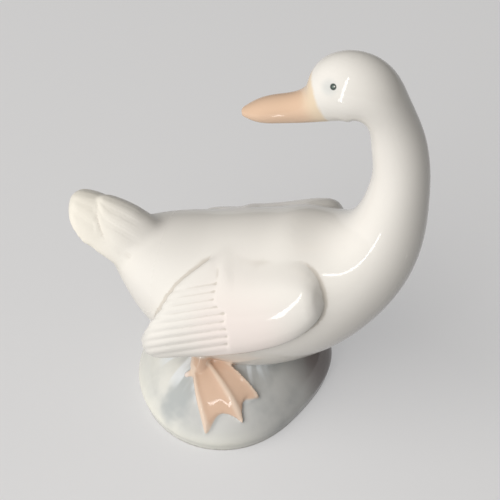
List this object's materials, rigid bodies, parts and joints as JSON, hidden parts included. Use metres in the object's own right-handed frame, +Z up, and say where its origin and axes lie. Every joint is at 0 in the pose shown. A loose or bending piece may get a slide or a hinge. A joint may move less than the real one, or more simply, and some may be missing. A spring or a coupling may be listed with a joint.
{
  "type": "duck figurine",
  "caption": "White glazed porcelain duck on a low rounded mound, head turned back over its tail, folded wings with feather relief, webbed feet, hollow cast with a vent below.",
  "frame": {"origin": "on the flat underside, under the middle of the mound", "axes": "+Z up, +X towards the breast (the tail is at -X), -Y the duck's right side"},
  "size_m": [0.1019, 0.0629, 0.1224],
  "materials": {
    "porcelain": "clear gloss glaze over warm white porcelain, with peach bill and feet, grey-blue mound and a small grey-green eye"
  },
  "bodies": {
    "root": {"duck_figurine": "porcelain"}
  },
  "joints": []
}
